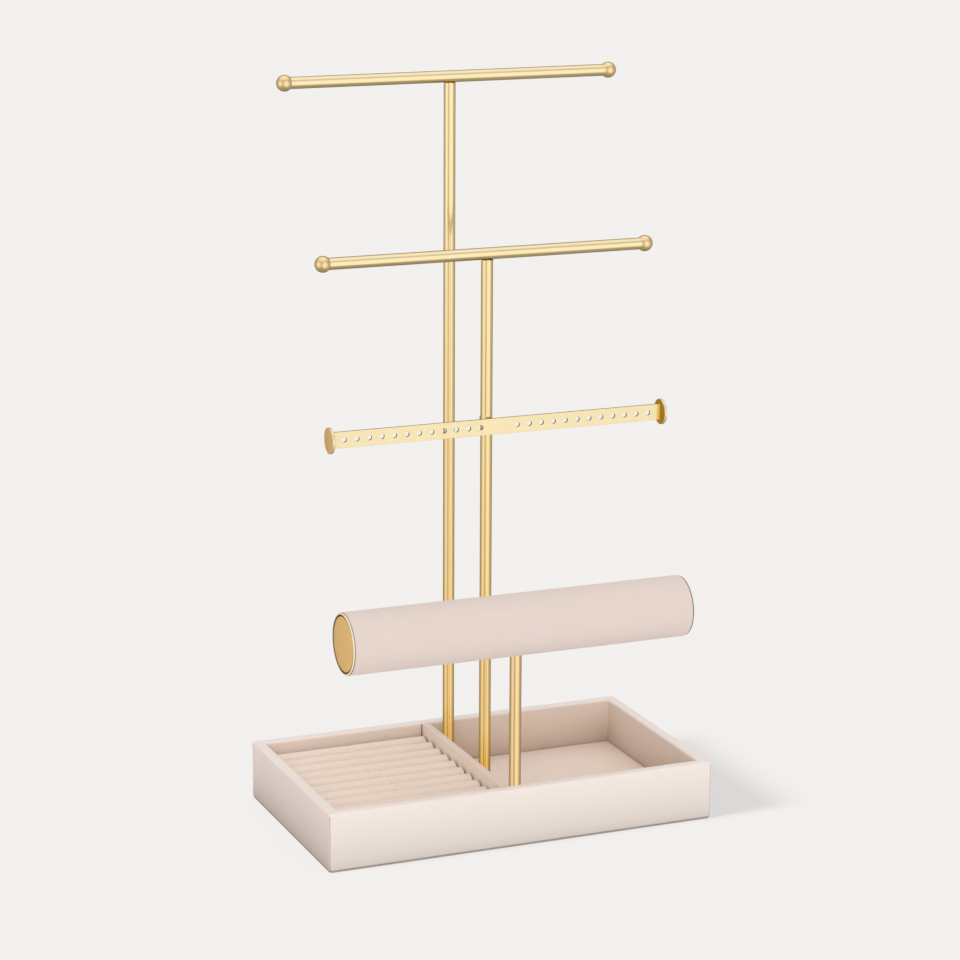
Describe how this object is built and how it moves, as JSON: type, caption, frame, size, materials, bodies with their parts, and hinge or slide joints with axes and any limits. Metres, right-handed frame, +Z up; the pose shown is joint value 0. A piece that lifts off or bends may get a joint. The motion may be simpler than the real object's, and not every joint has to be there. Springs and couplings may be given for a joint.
{
  "type": "jewelry stand",
  "caption": "Jewelry stand with ball-ended T-bars, a drilled earring strip and a padded bracelet roll on slim posts, standing in a velvet tray with a lift-out ring cushion.",
  "frame": {"origin": "middle of the tray's underside, on the table", "axes": "+X to the right along the bars, +Y to the back, +Z up along the posts"},
  "size_m": [0.28, 0.163, 0.509],
  "materials": {
    "velvet": "short-pile blush velvet glued over board or foam",
    "lining_velvet": "short-pile velvet on card, in the tray's shade",
    "satin_gold": "satin gold plating, finely brushed",
    "pale_gold": "pale satin gold plating on flat sheet",
    "zinc_steel": "bright zinc plating",
    "fibreboard": "raw fibreboard or softwood",
    "card": "grey board, uncoated",
    "foam": "open-cell foam",
    "pad_felt": "thin dense felt"
  },
  "bodies": {
    "stand": {"base_pad": "pad_felt", "floor_board": "fibreboard", "front_board": "fibreboard", "back_board": "fibreboard", "left_board": "fibreboard", "right_board": "fibreboard", "tray_cover": "velvet", "divider_board": "fibreboard", "divider_cover": "velvet", "compartment_lining": "lining_velvet", "rear_post": "satin_gold", "middle_post": "satin_gold", "front_post": "satin_gold", "rear_foot_plug": "zinc_steel", "middle_foot_plug": "zinc_steel", "front_foot_plug": "zinc_steel", "foot_washers": "zinc_steel", "foot_screws": "zinc_steel", "rear_head_plug": "zinc_steel", "middle_head_plug": "zinc_steel", "front_head_plug": "zinc_steel", "upper_bar": "satin_gold", "upper_left_ball": "satin_gold", "upper_right_ball": "satin_gold", "upper_bar_stud": "zinc_steel", "middle_bar": "satin_gold", "middle_left_ball": "satin_gold", "middle_right_ball": "satin_gold", "middle_bar_stud": "zinc_steel", "earring_strip": "pale_gold", "strip_left_disc": "satin_gold", "strip_right_disc": "satin_gold", "strip_spacer": "satin_gold", "strip_screw": "zinc_steel", "roll_core": "card", "roll_block": "fibreboard", "roll_stud": "zinc_steel", "roll_foam": "foam", "roll_cover": "velvet", "roll_left_cap": "satin_gold", "roll_right_cap": "satin_gold", "roll_left_plug": "fibreboard", "roll_right_plug": "fibreboard"},
    "ring_cushion": {"ring_card": "card", "ring_roll_1": "velvet", "ring_roll_2": "velvet", "ring_roll_3": "velvet", "ring_roll_4": "velvet", "ring_roll_5": "velvet", "ring_roll_6": "velvet", "ring_roll_7": "velvet", "ring_roll_8": "velvet", "ring_roll_9": "velvet", "ring_roll_10": "velvet"}
  },
  "joints": [
    {"name": "ring_cushion_lift", "type": "slide", "parent": "stand", "child": "ring_cushion", "axis": [0, 0, 1], "range_m": [0, 0.06]}
  ]
}
